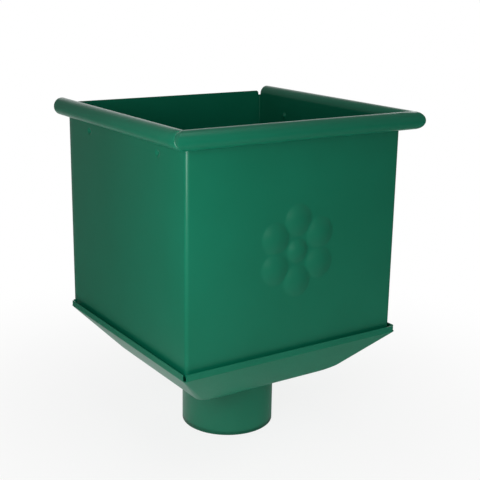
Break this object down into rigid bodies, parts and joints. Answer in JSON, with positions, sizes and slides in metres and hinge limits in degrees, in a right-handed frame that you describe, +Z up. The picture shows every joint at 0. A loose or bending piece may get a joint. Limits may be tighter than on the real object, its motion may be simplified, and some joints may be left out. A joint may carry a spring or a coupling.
{
  "type": "gutter outlet funnel",
  "caption": "Square rainwater hopper head of painted steel sheet, open at the top, with a rolled lip round the front and sides, a flat back, a tapered bottom pan and a round spigot.",
  "frame": {"origin": "middle of the spigot's lower end, on its axis", "axes": "+Z up, out of the open top; the front faces -Y and the flat back faces +Y"},
  "size_m": [0.2532, 0.2376, 0.312],
  "materials": {
    "green_paint": "satin"
  },
  "bodies": {
    "root": {"hopper_wrap": "green_paint", "back_panel": "green_paint", "bottom_pan": "green_paint", "outlet_spigot": "green_paint"}
  },
  "joints": []
}
